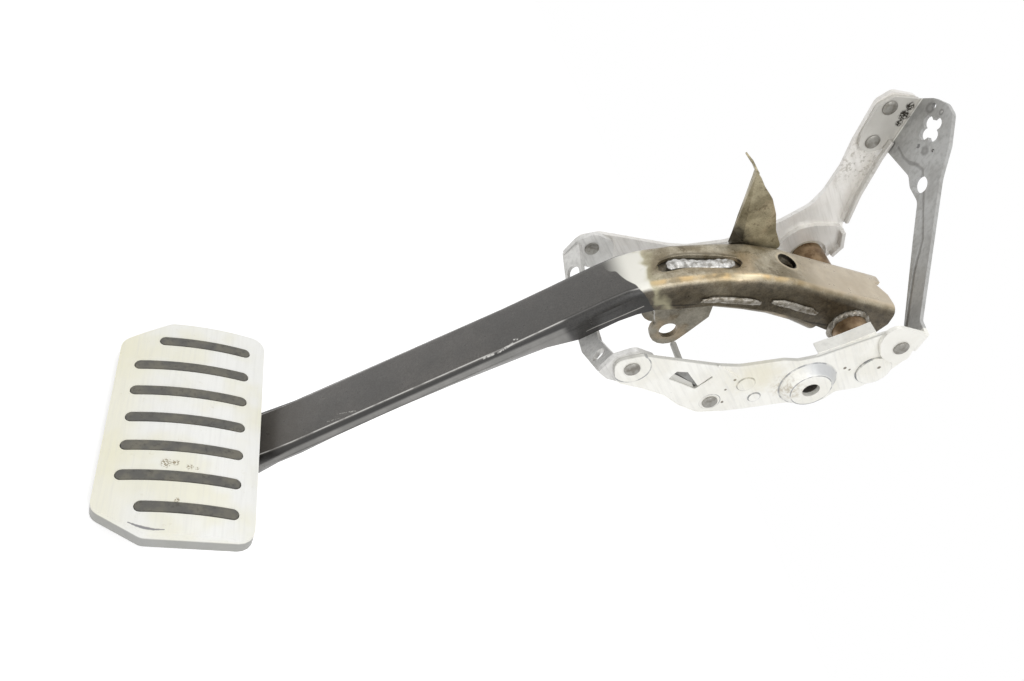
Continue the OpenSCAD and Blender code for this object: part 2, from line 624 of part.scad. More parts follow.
// A rivet through sheets that lie between two Y values, with a flat head outside and a low one inside
module rivet(at, y0, y1) {
    s = y1 > y0 ? 1 : -1;
    cross_rod(at[0], at[1], rivet_d / 2, y0 - s * 6 * fit, y1 + s * 6 * fit);
    translate([at[0], y1 + s * fit, at[1]]) rotate([-s * 90, 0, 0]) rotate_extrude() polygon([[0, 0],
        [rivet_head_d / 2, 0], [rivet_head_d / 2, 0.6], [rivet_head_d / 2 - 1, 1.1], [0, 1.1]]);
    translate([at[0], y0 - s * fit, at[1]]) rotate([s * 90, 0, 0]) rotate_extrude() polygon([[0, 0],
        [rivet_head_d / 2, 0], [rivet_head_d / 2, 0.5], [rivet_head_d / 2 - 1, 0.9], [0, 0.9]]);
}

grey = [0.52, 0.5, 0.47];
module strap_rivet_left() color(grey) rivet(strap_rivet_at, strap_tab_y - strap_t, half_gap + sheet_t);
module strap_rivet_right() color(grey) rivet(strap_rivet_at, -strap_tab_y + strap_t, -half_gap - sheet_t);
module side_rivet() color(grey) rivet(side_rivet_at, -half_gap, -half_gap - sheet_t);
module foot_rivet() color(grey) rivet(foot_rivet_at, -half_gap, -half_gap - sheet_t - fit - rear_t);
module upper_rivets() color(grey)
    for (p = upper_rivet_at) rivet(p, half_gap - fit - rear_t, half_gap + sheet_t);

pad_cover();
pad_rubber();
pad_plate();
foot_weld();
arm_rear_shell();
arm_front_shell();
pushrod_clevis();
slot_weld();
seam_welds();
switch_flag();
pivot_tube();
tube_welds();
bush_left();
bush_right();
right_plate();
left_plate();
front_strap();
rear_mount_plate();
pivot_pin();
boss_nut();
spring_peg();
strap_rivet_left();
strap_rivet_right();
side_rivet();
foot_rivet();
upper_rivets();
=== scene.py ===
import math

import bmesh
import bpy
from mathutils import Matrix, Vector, noise


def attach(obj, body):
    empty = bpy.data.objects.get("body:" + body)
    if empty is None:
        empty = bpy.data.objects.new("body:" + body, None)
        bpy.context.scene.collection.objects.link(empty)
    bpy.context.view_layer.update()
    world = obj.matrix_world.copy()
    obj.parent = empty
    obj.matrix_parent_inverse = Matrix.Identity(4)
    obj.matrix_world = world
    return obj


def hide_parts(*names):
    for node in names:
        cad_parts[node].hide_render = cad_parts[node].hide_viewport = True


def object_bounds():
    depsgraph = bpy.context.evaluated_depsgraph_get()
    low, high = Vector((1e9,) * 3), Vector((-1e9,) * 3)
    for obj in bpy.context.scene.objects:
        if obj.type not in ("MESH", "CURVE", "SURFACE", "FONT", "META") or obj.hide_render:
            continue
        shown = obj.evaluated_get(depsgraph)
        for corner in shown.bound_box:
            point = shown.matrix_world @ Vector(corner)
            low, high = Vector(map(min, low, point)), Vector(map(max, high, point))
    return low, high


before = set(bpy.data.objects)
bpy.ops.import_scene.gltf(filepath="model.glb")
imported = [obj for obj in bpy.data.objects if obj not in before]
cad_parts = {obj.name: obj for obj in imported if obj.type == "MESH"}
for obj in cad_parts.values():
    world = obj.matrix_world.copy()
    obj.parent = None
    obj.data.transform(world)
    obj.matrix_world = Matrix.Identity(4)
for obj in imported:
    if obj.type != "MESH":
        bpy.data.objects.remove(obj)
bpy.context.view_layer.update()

MM = 0.001

# The camera stands where the photograph was taken from, in metres
CAMERA_PLACE = (-0.2879, -0.2604, 0.0179)
CAMERA_RIGHT = (0.4176, -0.1534, 0.8956)
CAMERA_UP = (-0.5835, 0.7103, 0.3938)
CAMERA_BACK = (-0.6965, -0.6870, 0.2071)
CAMERA_LENS = 31.64
CAMERA_SENSOR = 36
CAMERA_NEAREST = 0.01

# Each lamp: name, side of the part it stands on, distance and size in metres, power in watts
LAMP_AIM = (-0.015, 0, -0.04)
LAMPS = (
    ("key", (-0.35, -0.85, 0.45), 1.3, 0.9, 7.6),
    ("top", (-0.5, 0.3, 0.9), 1.4, 1.0, 3.6),
)
WORLD_LEVEL = 0.55
FLOOR_HALF_SIZE = 6
FLOOR_GAP = 0.5 * MM
FLOOR_TONE = 0.8
FLOOR_GLOW = 0.62

# Places that the finishes and pieces are drawn from, in millimetres of the part's frame
PAD_MIDDLE = (-61.9, 0, -196.3)
PAD_UP = (0.714, 0, 0.7)
PAD_OUT = (-0.7, 0, 0.714)
PAD_LEAN = -44.4
ARM_FACE = (-33.2, 0, 0)
ARM_HALF_WIDTH = 12.42
ARM_TAPER = 0.0036
BOSS = (29.4, 0, 43)
SLOT_MIDDLE = (-22, -1.9, 22.8)
SLOT_WAY = (0.54, 0, 0.84)
SLOT_LENGTH = 28
TOOL_HOLE = (1.5, 2.4, 55.5)
RIGHT_PLATE_EDGE = (-37.9, -37.6)

# Small marks. A spot is a centre and a radius, a line a start, an end and a half width, a path its points
PAD_GRIME = (
    ((-68.8, -29.2, -197.5), 1.9), ((-66.2, -28.6, -195), 1.3), ((-62.4, -30.2, -191), 1.2),
    ((-60.4, -30.6, -189), 0.7), ((-64.8, -46.4, -193.4), 0.9),
)
PAD_CRESCENT = (
    (-73.4, -57, -207.6), (-71.3, -58.4, -205.5), (-69.2, -59.4, -203.5), (-66.8, -60, -201.1),
    (-64.2, -59.9, -198.6),
)
ARM_SCRATCHES = (
    ((-33.2, -9.3, -134.5), (-33.2, -11.8, -127), 0.3),
    ((-33.2, -7.3, -141), (-33.2, -10, -131), 0.22),
    ((-33.2, -9.0, -146), (-33.2, -10.2, -138), 0.25),
    ((-33.3, -5, -150), (-33.3, -9, -143), 0.14),
    ((-27.2, -12.6, -158), (-26.2, -12.6, -152), 0.4),
    ((-25.4, -11.3, -128), (-24.2, -11.2, -112), 0.3),
    ((-33.4, 3.5, -101), (-33.4, 1.2, -92), 0.12),
)
ARM_NICKS = (
    ((-32.6, -11, -61.5), (-32.8, -10.6, -58), 0.7),
    ((-32.3, -11.5, -65), (-32.4, -11.2, -62.5), 0.5),
    ((-32.4, -11.2, -71.5), (-32.3, -11.2, -67), 0.6),
    ((-33.2, -9.2, -57), (-33.2, -9.8, -55.4), 0.5),
)
# ARM_CREASE is a dark line of painted shade.
ARM_CREASE = ((-24.2, -12.4, -3.4), (-11.7, -12.4, 16.3), (5, -12.4, 34), (31.7, -12.4, 61))
ARM_SEAM = ((-24.3, -12.8, -29), (-24.5, -12.7, -25.3), (-24.3, -12.6, -14), (-24.2, -12.5, -4))
# SLOT_RIM and SLOT_ENDS are dark marks of painted shade.
SLOT_RIM = ((-29.4, 2.4, 9), (-27.4, 4.3, 14.5), (-24.6, 4.2, 20.5), (-20.2, 2.8, 29), (-15, 1.4, 37))
SLOT_ENDS = ((-29.4, -1.8, 8.4), (-15.2, -1.9, 36.6))
PLATE_SPECKS = (
    ((29.4, -38.2, 58.9), 0.7), ((31.6, -38.2, 60.4), 0.5), ((19.5, -38.2, 8.7), 0.6),
    ((36.6, -38.8, 71.6), 0.8), ((12.6, -38.2, 12), 0.5), ((9, -38.2, 17), 0.6),
)
# Rings of painted shade round pressed forms and edges. Each ring: centre, radius, half width
PLATE_RINGS = (
    (BOSS, 12.1, 0.4), (BOSS, 8.6, 0.3), ((37.8, 0, 69.3), 7.5, 0.35), ((28.1, 0, 81.3), 4.6, 0.25),
    ((-22.1, 0, -16.6), 7.6, 0.35), ((16, 0, 4.2), 4.4, 0.2), ((14.2, 0, 20.3), 3.8, 0.3),
    ((24.4, 0, 21.2), 2.6, 0.3),
)
# REAR_GROOVE and REAR_PRESSINGS mark painted shade; REAR_GLINTS are painted highlights.
REAR_GROOVE = (
    (-5.6, 29.2, 117.2), (-4.6, 23.7, 116.8), (-4.8, 19.4, 117.3), (-5.9, 15.8, 118.6), (-6, 11.6, 119.1),
    (-3.1, 6.5, 116.9), (8.7, -9.9, 107.5), (17, -16.2, 100.4), (30.5, -30, 89.2),
)
REAR_PRESSINGS = (
    ((-21.2, 27.1, 130.4), 2.1), ((-22.8, 20.9, 131.6), 1.1), ((-10, 21.3, 121.7), 1.1),
    ((-10.9, 16.2, 122.4), 2.0), ((-12.6, 13.2, 123.7), 0.9),
)
REAR_GLINTS = (
    ((-22.6, 25.9, 131.6), (-21.2, 24.9, 130.4), 0.7),
    ((-6.8, 27.6, 118.4), (-5.5, 18.5, 117.4), 0.7),
    ((-23.2, 20.7, 131.8), (-22.6, 20.9, 131.4), 0.5),
    ((-12.4, 13.2, 123.6), (-11.8, 13.4, 123.2), 0.6),
)
REAR_GREASE = (((-20.5, 34.4, 124.8), 1.8), ((-17.6, 34.4, 122), 2.3), ((-14.6, 34.4, 119.6), 1.5))
TONGUE_RIDGES = (((-8, -36.8, -3), (4, -36.8, 1.6), 0.7), ((-8, -36.8, -5), (3, -36.8, 0), 0.5))


def paint(red, green, blue):
    """A colour as it should look, in steps of 0 to 255, turned to the linear values of a shader."""
    def linear(step):
        part = step / 255
        return part / 12.92 if part <= 0.04045 else ((part + 0.055) / 1.055) ** 2.4
    return (linear(red), linear(green), linear(blue), 1.0)


# Studio

def set_camera():
    turned = Matrix((CAMERA_RIGHT, CAMERA_UP, CAMERA_BACK)).transposed().to_4x4()
    data = bpy.data.cameras.new("photo_camera")
    data.lens = CAMERA_LENS
    data.sensor_width = CAMERA_SENSOR
    data.clip_start = CAMERA_NEAREST
    camera = bpy.data.objects.new("photo_camera", data)
    camera.matrix_world = Matrix.Translation(CAMERA_PLACE) @ turned
    bpy.context.scene.collection.objects.link(camera)
    bpy.context.scene.camera = camera


def soft_lamp(name, towards, distance, size, power):
    """A square studio lamp that looks at the middle of the part from the side it is towards."""
    data = bpy.data.lights.new(name, "AREA")
    data.size = size
    data.energy = power
    lamp = bpy.data.objects.new(name, data)
    side = Vector(towards).normalized()
    place = Matrix.Translation(Vector(LAMP_AIM) + side * distance)
    lamp.matrix_world = place @ side.to_track_quat("Z", "Y").to_matrix().to_4x4()
    bpy.context.scene.collection.objects.link(lamp)


def seen_rays(tree):
    """1 for the rays that show the backdrop: those of the camera, of reflections and of clear materials."""
    path = tree.nodes.new("ShaderNodeLightPath")
    seen = path.outputs["Is Camera Ray"]
    for kind in ("Is Glossy Ray", "Is Transmission Ray"):
        either = tree.nodes.new("ShaderNodeMath")
        either.operation = "MAXIMUM"
        tree.links.new(seen, either.inputs[0])
        tree.links.new(path.outputs[kind], either.inputs[1])
        seen = either.outputs[0]
    return seen


def show_by_ray(tree, lighting, shown, output):
    """One shader where light comes from, another where the backdrop is seen."""
    mix = tree.nodes.new("ShaderNodeMixShader")
    tree.links.new(seen_rays(tree), mix.inputs[0])
    tree.links.new(lighting.outputs[0], mix.inputs[1])
    tree.links.new(shown.outputs[0], mix.inputs[2])
    tree.links.new(mix.outputs[0], tree.nodes[output].inputs[0])


def set_studio():
    world = bpy.data.worlds.new("studio")
    world.use_nodes = True
    tree = world.node_tree
    plain = tree.nodes["Background"]
    plain.inputs["Color"].default_value = (1, 1, 1, 1)
    plain.inputs["Strength"].default_value = WORLD_LEVEL
    white = tree.nodes.new("ShaderNodeBackground")
    white.inputs["Color"].default_value = (1, 1, 1, 1)
    show_by_ray(tree, plain, white, "World Output")
    bpy.context.scene.world = world


def lay_floor():
    form = bmesh.new()
    bmesh.ops.create_grid(form, x_segments=1, y_segments=1, size=FLOOR_HALF_SIZE)
    bmesh.ops.translate(form, verts=form.verts, vec=(0, 0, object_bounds()[0][2] - FLOOR_GAP))
    mesh = bpy.data.meshes.new("floor")
    form.to_mesh(mesh)
    form.free()
    floor = bpy.data.objects.new("floor", mesh)
    bpy.context.scene.collection.objects.link(floor)
    material = bpy.data.materials.new("floor_white")
    material.use_nodes = True
    tree = material.node_tree
    shade = tree.nodes["Principled BSDF"]
    shade.inputs["Base Color"].default_value = (FLOOR_TONE, FLOOR_TONE, FLOOR_TONE, 1)
    shade.inputs["Roughness"].default_value = 0.9
    shade.inputs["Specular IOR Level"].default_value = 0.1
    glow = tree.nodes.new("ShaderNodeEmission")
    glow.inputs["Strength"].default_value = FLOOR_GLOW
    lit = tree.nodes.new("ShaderNodeAddShader")
    tree.links.new(shade.outputs[0], lit.inputs[0])
    tree.links.new(glow.outputs[0], lit.inputs[1])
    show_by_ray(tree, shade, lit, "Material Output")
    mesh.materials.append(material)


# Finishes

class Finish:
    """One surface finish. Its patterns read the part's own frame, in millimetres."""

    def __init__(self, name, rough, metal=0.0, gloss=0.5):
        self.material = bpy.data.materials.new(name)
        self.material.use_nodes = True
        self.tree = self.material.node_tree
        self.shader = self.tree.nodes["Principled BSDF"]
        self.shader.inputs["Roughness"].default_value = rough
        self.shader.inputs["Metallic"].default_value = metal
        self.shader.inputs["Specular IOR Level"].default_value = gloss
        place = self.tree.nodes.new("ShaderNodeTexCoord")
        self.place = self.node("ShaderNodeMapping", {0: place.outputs["Object"]}).outputs[0]
        self.place.node.inputs["Scale"].default_value = (1 / MM, 1 / MM, 1 / MM)
        self.height = None

    def node(self, kind, values, **settings):
        made = self.tree.nodes.new(kind)
        for key, value in settings.items():
            setattr(made, key, value)
        for key, value in values.items():
            self.feed(made.inputs[key], value)
        return made

    def feed(self, socket, value):
        if isinstance(value, bpy.types.NodeSocket):
            self.tree.links.new(value, socket)
        else:
            socket.default_value = value

    def vector(self, operation, values, output="Vector"):
        return self.node("ShaderNodeVectorMath", values, operation=operation).outputs[output]

    def math(self, operation, first, second=0.0):
        return self.node("ShaderNodeMath", {0: first, 1: second}, operation=operation).outputs[0]

    def times(self, first, *others):
        """The product of marks and shares."""
        for other in others:
            first = self.math("MULTIPLY", first, other)
        return first

    def either(self, first, second):
        return self.math("MAXIMUM", first, second)

    def step(self, value, low, high, to_low=0.0, to_high=1.0):
        """A smooth change between two levels where a value goes from low to high."""
        return self.node("ShaderNodeMapRange", {0: value, 1: low, 2: high, 3: to_low, 4: to_high},
                         interpolation_type="SMOOTHSTEP").outputs[0]

    def turned(self, angles, stretch):
        turned = self.node("ShaderNodeMapping", {0: self.place})
        turned.inputs["Rotation"].default_value = [math.radians(a) for a in angles]
        turned.inputs["Scale"].default_value = stretch
        return turned.outputs[0]

    def clouds(self, size, detail=3.0, rough=0.55, place=None):
        """Soft noise whose patches are about a size across, in millimetres."""
        return self.node("ShaderNodeTexNoise", {"Vector": place or self.place, "Scale": 1 / size,
                         "Detail": detail, "Roughness": rough}).outputs[0]

    def along(self, direction, start=(0, 0, 0)):
        """How far a point lies along a direction from a start, in millimetres."""
        moved = self.vector("SUBTRACT", {0: self.place, 1: start})
        return self.vector("DOT_PRODUCT", {0: moved, 1: direction}, "Value")

    def y_step(self, *levels):
        return self.step(self.along((0, 1, 0)), *levels)

    def z_step(self, *levels):
        return self.step(self.along((0, 0, 1)), *levels)

    def off_middle(self):
        """How far a point lies from the part's middle plane, to either side."""
        return self.math("ABSOLUTE", self.along((0, 1, 0)))

    def spot(self, centre, radius, soft=0.35, wobble=0.5, grain=1.6):
        """1 inside an uneven round patch and 0 outside it."""
        away = self.vector("DISTANCE", {0: self.place, 1: centre}, "Value")
        rim = self.node("ShaderNodeMath", {0: self.clouds(grain, 2), 1: wobble * radius,
                        2: radius * (1 - wobble / 2)}, operation="MULTIPLY_ADD").outputs[0]
        return self.step(self.math("DIVIDE", away, rim), 1 - soft, 1 + soft, 1.0, 0.0)

    def line(self, start, end, width, soft=0.5):
        """1 on a thin straight line between two points and 0 away from it."""
        a, b = Vector(start), Vector(end)
        way = (b - a).normalized()
        reach = self.along(tuple(way), tuple(a))
        reach = self.node("ShaderNodeClamp", {0: reach, 1: 0.0, 2: (b - a).length}).outputs[0]
        nearest = self.vector("SCALE", {0: tuple(way), "Scale": reach})
        nearest = self.vector("ADD", {0: nearest, 1: tuple(a)})
        away = self.vector("DISTANCE", {0: self.place, 1: nearest}, "Value")
        return self.step(away, width * (1 - soft), width, 1.0, 0.0)

    def ring(self, centre, radius, width, soft=0.4):
        """1 on a circle round an axis across the car, and 0 away from it."""
        flat = self.vector("SUBTRACT", {0: self.place, 1: centre})
        flat = self.vector("MULTIPLY", {0: flat, 1: (1, 0, 1)})
        off = self.math("SUBTRACT", self.vector("LENGTH", {0: flat}, "Value"), radius)
        return self.step(self.math("ABSOLUTE", off), width * (1 - soft), width, 1.0, 0.0)

    def path(self, points, width, soft=0.5):
        """1 on a chain of straight lines, and 0 away from it."""
        mark = self.line(points[0], points[1], width, soft)
        for start, end in zip(points[1:], points[2:]):
            mark = self.either(mark, self.line(start, end, width, soft))
        return mark

    def blend(self, amount, first, second):
        mixed = self.node("ShaderNodeMix", {0: amount}, data_type="RGBA")
        self.feed(mixed.inputs[6], first)
        self.feed(mixed.inputs[7], second)
        return mixed.outputs[2]

    def lay(self, base, where, colour, share=None):
        """The base with a colour over it where a mark is, in full or by a share."""
        return self.blend(where if share is None else self.times(where, share), base, colour)

    def colour(self, value):
        self.tree.links.new(value, self.shader.inputs["Base Color"])

    def roughness(self, value, low, high):
        self.tree.links.new(self.step(value, 0.25, 0.75, low, high), self.shader.inputs["Roughness"])

    def metal(self, value):
        self.tree.links.new(value, self.shader.inputs["Metallic"])

    def bump(self, value, depth):
        """Raises the surface by a depth in millimetres where the value is 1."""
        values = {"Height": value, "Distance": depth * MM, "Strength": 1.0}
        if self.height is not None:
            values["Normal"] = self.height
        self.height = self.node("ShaderNodeBump", values).outputs[0]
        self.tree.links.new(self.height, self.shader.inputs["Normal"])


def pad_crescent(f, out):
    """1 on the thin crescent at the pad's lower corner. It is drawn on the pad's plane."""
    whole = f.place
    lift = f.vector("SCALE", {0: PAD_OUT, "Scale": out})
    f.place = f.vector("SUBTRACT", {0: whole, 1: lift})
    arc = [Vector(p) for p in PAD_CRESCENT]
    halves = [(a + b) / 2 for a, b in zip(arc, arc[1:])]
    crescent = f.path(arc, 0.32, 0.6)
    for points, width in (([halves[0], *arc[1:4], halves[3]], 0.5), (arc[1:4], 0.66),
                          ([halves[1], arc[2], halves[2]], 0.8)):
        crescent = f.either(crescent, f.path(points, width, 0.6))
    f.place = whole
    return crescent


def pad_steel():
    f = Finish("pad_steel", 0.36, 0.05)
    face = f.blend(f.step(f.clouds(30, 3), 0.4, 0.66), paint(249, 249, 245), paint(244, 242, 224))
    face = f.lay(face, f.step(f.along(PAD_UP, PAD_MIDDLE), -27, -12, 0.55, 0.0), paint(246, 242, 214))
    brushed = f.clouds(1.2, 3, 0.6, f.turned((0, PAD_LEAN, 0), (1, 0.06, 1)))
    face = f.lay(face, f.step(brushed, 0.4, 0.75, 0.0, 0.22), paint(222, 221, 216))
    face = f.lay(face, f.step(f.clouds(4, 6, 0.7), 0.62, 0.74, 0.0, 0.35), paint(206, 198, 170))
    for centre, radius in PAD_GRIME:
        grime = f.times(f.spot(centre, radius, 0.5, 0.9, 0.7), f.step(f.clouds(0.6, 3), 0.4, 0.6))
        face = f.lay(face, grime, paint(130, 112, 74))
    out = f.along(PAD_OUT, PAD_MIDDLE)
    face = f.lay(face, f.times(pad_crescent(f, out), 0.85, f.step(out, 0.0, 0.6)), paint(114, 112, 118))
    # Painted shade: the rim that runs down from the pad's face is painted darker than the face.
    skirt_painted_shade = f.blend(f.clouds(9, 4), paint(138, 138, 136), paint(166, 166, 163))
    f.colour(f.lay(face, f.step(out, -1.6, -0.6, 1.0, 0.0), skirt_painted_shade, 0.9))
    f.roughness(brushed, 0.3, 0.46)
    f.bump(brushed, 0.012)
    f.bump(f.clouds(14, 3), 0.12)
    return f.material


def pad_rubber():
    f = Finish("pad_rubber", 0.7, 0.0, 0.3)
    base = f.blend(f.step(f.clouds(6, 4), 0.35, 0.7), paint(102, 101, 97), paint(122, 119, 108))
    base = f.lay(base, f.step(f.clouds(2.2, 5, 0.7), 0.52, 0.7, 0.0, 0.6), paint(68, 67, 64))
    base = f.lay(base, f.step(f.clouds(1.1, 4, 0.7), 0.62, 0.72, 0.0, 0.5), paint(140, 136, 124))
    f.colour(base)
    f.bump(f.clouds(0.5, 4, 0.7), 0.08)
    return f.material


def black_coat(f):
    """Worn satin black paint: dusty in places, darker on the arm's side as painted shade, with a lighter
    strip there as a painted reflection, and a painted highlight along its ridge.
    """
    base = f.blend(f.step(f.clouds(26, 4), 0.4, 0.7), paint(86, 84, 81), paint(98, 95, 91))
    base = f.lay(base, f.step(f.clouds(0.7, 4, 0.8), 0.35, 0.65), paint(56, 54, 52), 0.5)
    base = f.lay(base, f.step(f.clouds(3.5, 6, 0.75), 0.55, 0.75, 0.0, 0.4), paint(112, 109, 103))
    base = f.lay(base, f.z_step(-166, -150, 1.0, 0.0), paint(78, 73, 67), 0.5)
    # How far a point lies outside the arm's corner, whose half width changes with the height
    edge = f.math("ADD", f.off_middle(), f.along((0, 0, ARM_TAPER), (0, 0, ARM_HALF_WIDTH / ARM_TAPER)))
    # Painted shade: the arm's side faces are painted darker than its top.
    side = f.step(edge, -1.55, -1.0)
    base = f.lay(base, side, paint(32, 31, 30), 0.88)
    # Painted reflection: a lighter strip low on the arm's side.
    painted_reflection_band = f.times(side, f.step(f.along((1, 0, 0), ARM_FACE), 1.7, 2.7), f.z_step(-38, -34, 0.95, 0.0))
    painted_reflection_grey = f.blend(f.step(f.clouds(14, 4, 0.6), 0.35, 0.7), paint(126, 125, 122), paint(144, 142, 139))
    base = f.lay(base, painted_reflection_band, painted_reflection_grey)
    # Painted highlight: a thin pale line along the arm's ridge.
    ridge = f.times(f.step(edge, -2.25, -1.95), f.step(edge, -1.8, -1.5, 1.0, 0.0),
                    f.step(f.clouds(9, 4), 0.36, 0.5, 0.35, 0.95))
    base = f.lay(base, ridge, paint(206, 204, 200))
    for start, end, width in ARM_SCRATCHES:
        scratch = f.times(f.line(start, end, width), f.step(f.clouds(0.8, 3), 0.42, 0.55))
        base = f.lay(base, scratch, paint(176, 174, 168))
    for start, end, width in ARM_NICKS:
        nick = f.times(f.line(start, end, width, 0.8), f.step(f.clouds(0.9, 4, 0.8), 0.42, 0.54))
        base = f.lay(base, nick, paint(214, 212, 208))
    return base


def grainy_painted_shade_coat(f):
    """Rough black paint beside the brazed stretch: its grain is the paint's own, its near-black darkness
    painted shade.
    """
    return f.blend(f.step(f.clouds(0.8, 4, 0.8), 0.4, 0.64), paint(50, 48, 45), paint(24, 23, 22))


def worn_zinc(f, light, brown):
    """Olive-gold zinc plate that has gone brown in patches, with dark specks."""
    base = f.blend(f.step(f.clouds(11, 5, 0.62), 0.36, 0.62), light, brown)
    base = f.lay(base, f.step(f.clouds(19, 3), 0.5, 0.68, 0.0, 0.6), paint(186, 166, 136))
    base = f.lay(base, f.step(f.clouds(5, 6, 0.7), 0.56, 0.68, 0.0, 0.65), paint(92, 79, 55))
    base = f.lay(base, f.step(f.clouds(0.7, 4, 0.7), 0.4, 0.7, 0.0, 0.35), paint(84, 75, 58))
    base = f.lay(base, f.step(f.clouds(0.9, 3, 0.6), 0.66, 0.72, 0.0, 0.7), paint(52, 45, 34))
    return base


def ragged_height(f, start):
    """The height over a start, as a ragged edge of the paint sees it."""
    return f.math("ADD", f.along((0, 0, 1), (0, 0, start)),
                  f.step(f.clouds(6, 1.5, 0.4), 0.25, 0.75, -2.5, 2.5))


def arm_zinc_coat(f, wide, side):
    """The rear shell's zinc, with its brown sides darkened further as painted shade, pale hub, a painted
    golden highlight and glint on its ridge, and painted shade in its crease, slot rim, slot ends and tool
    hole.
    """
    zinc = worn_zinc(f, paint(190, 181, 160), paint(134, 123, 100))
    # Painted shade: the sides are painted dark brown, deeper than the zinc's own brown.
    brown = f.blend(f.step(f.clouds(3, 5, 0.7), 0.4, 0.65), paint(88, 79, 63), paint(58, 51, 40))
    zinc = f.lay(zinc, side, brown, 0.88)
    zinc = f.lay(zinc, f.times(side, f.step(f.clouds(0.55, 4, 0.8), 0.46, 0.64, 0.0, 0.5)), paint(36, 31, 24))
    hub = f.times(f.z_step(52, 68), f.step(wide, 9, 11.2, 1.0, 0.0))
    zinc = f.lay(zinc, hub, paint(206, 192, 170), 0.7)
    # Painted highlight: a golden sheen along the lower ridge, fading towards the hub.
    near = f.along((0, -1, 0))
    painted_gold_highlight = f.times(f.step(near, 8.2, 9.6), f.step(near, 10.0, 11.5, 1.0, 0.0),
                   f.step(f.clouds(8, 3), 0.34, 0.56, 0.15, 0.75), f.z_step(44, 64, 1.0, 0.15))
    zinc = f.lay(zinc, painted_gold_highlight, paint(222, 190, 136))
    # Painted highlight: a pale glint on the ridge.
    ridge = f.times(f.step(near, 8.8, 9.8), f.step(near, 10.2, 11.4, 1.0, 0.0))
    zinc = f.lay(zinc, f.times(f.spot((-13, -10, 38), 5, 0.9, 0.4), ridge), paint(252, 240, 206), 0.8)
    # Painted shade: a dark line in the crease, a dark rim along the slot and dark spots at its ends.
    zinc = f.lay(zinc, f.path(ARM_CREASE, 0.5), paint(40, 33, 24), 0.8)
    zinc = f.lay(zinc, f.path(SLOT_RIM, 1.3, 0.9), paint(78, 69, 52), 0.6)
    for centre in SLOT_ENDS:
        zinc = f.lay(zinc, f.spot(centre, 2.1, 0.25, 0.25, 2), paint(34, 29, 22), 0.92)
    zinc = f.lay(zinc, f.spot((1.2, 2.4, 56), 5.6, 0.1, 0.1, 3), paint(214, 200, 172), 0.55)
    # Painted shade: the tool hole is painted dark.
    zinc = f.lay(zinc, f.spot(TOOL_HOLE, 4.5, 0.06, 0.0, 3), paint(30, 25, 19))
    return zinc


def arm_shell_finish():
    """The rear shell: black paint, then a white patch that is a painted highlight, then zinc up to the hub.
    """
    f = Finish("arm_painted", 0.38, 0.0, 0.5)
    black = black_coat(f)
    wide = f.off_middle()
    side = f.step(wide, 10.9, 12.1)
    zinc = arm_zinc_coat(f, wide, side)
    # Painted highlight: a white patch between the black paint and the zinc.
    patch_edge = f.math("ADD", f.along((0, 0.45, 1), (0, 0, -7.5)),
                        f.step(f.clouds(13, 1.5, 0.4), 0.25, 0.75, -2.6, 2.6))
    low_end = f.math("ADD", f.along((0, 0, 1)), f.step(wide, 11.4, 12.2, 0, -6))
    painted_highlight_patch = f.times(f.step(patch_edge, -0.25, 0.25), f.step(low_end, -14, -3))
    over = ragged_height(f, 2.2)
    plated_part = f.either(f.step(over, -0.9, 1.3), side)
    base = f.blend(painted_highlight_patch, black, f.blend(plated_part, paint(246, 244, 234), zinc))
    # Painted highlight: a pale yellow fade from the white patch into the zinc.
    tint = f.times(f.step(over, 0.5, 5.5, 1.0, 0.0), f.step(over, -2.5, 0.2))
    base = f.lay(base, tint, paint(206, 200, 166), 0.45)
    # Painted shade: the arm's side near the hub is painted near-black, with a rough grain.
    dark_side_painted_shade = f.times(f.step(wide, 9.6, 10.6), f.z_step(-37, -33), f.z_step(-7, -1, 1.0, 0.0))
    base = f.lay(base, dark_side_painted_shade, grainy_painted_shade_coat(f), 0.85)
    base = f.lay(base, f.path(ARM_SEAM, 0.32), paint(176, 174, 168), 0.8)
    f.colour(base)
    f.metal(f.step(over, -1, 5, 0.0, 0.5))
    f.roughness(f.clouds(4, 4), 0.26, 0.46)
    f.bump(f.clouds(1.6, 3), 0.03)
    f.bump(f.clouds(22, 3), 0.25)
    return f.material


def front_shell_finish():
    """The front shell: its sides are smoother than the rear shell's, lighter as a painted reflection up to
    the dark grainy stretch, whose darkness is painted shade.
    """
    f = Finish("front_painted", 0.3, 0.0, 0.6)
    base = black_coat(f)
    side = f.step(f.off_middle(), 9.2, 10.4)
    # Painted reflection: the side is painted lighter up to the dark stretch.
    painted_reflection_grey = f.blend(f.step(f.clouds(18, 4, 0.6, f.turned((0, 0, 0), (1, 1, 0.2))), 0.35, 0.7),
                   paint(128, 127, 125), paint(146, 144, 141))
    painted_reflection_grey = f.lay(painted_reflection_grey, f.step(f.clouds(0.8, 4, 0.7), 0.45, 0.7, 0.0, 0.3), paint(84, 83, 80))
    base = f.lay(base, f.times(side, f.z_step(-40, -35, 0.95, 0.0)), painted_reflection_grey)
    # Painted shade: the side beyond it is painted near-black.
    base = f.lay(base, f.times(side, f.z_step(-38, -34)), grainy_painted_shade_coat(f), 0.9)
    over = ragged_height(f, 1.0)
    base = f.lay(base, f.step(over, -0.9, 1.3), worn_zinc(f, paint(120, 109, 88), paint(92, 82, 62)))
    f.colour(base)
    f.metal(f.step(over, -1, 5, 0.0, 0.45))
    f.roughness(f.clouds(4, 4), 0.24, 0.42)
    f.bump(f.clouds(1.6, 3), 0.03)
    return f.material


def black_paint():
    f = Finish("black_paint", 0.4, 0.0, 0.5)
    f.colour(black_coat(f))
    f.roughness(f.clouds(4, 4), 0.32, 0.5)
    f.bump(f.clouds(1.6, 3), 0.03)
    return f.material


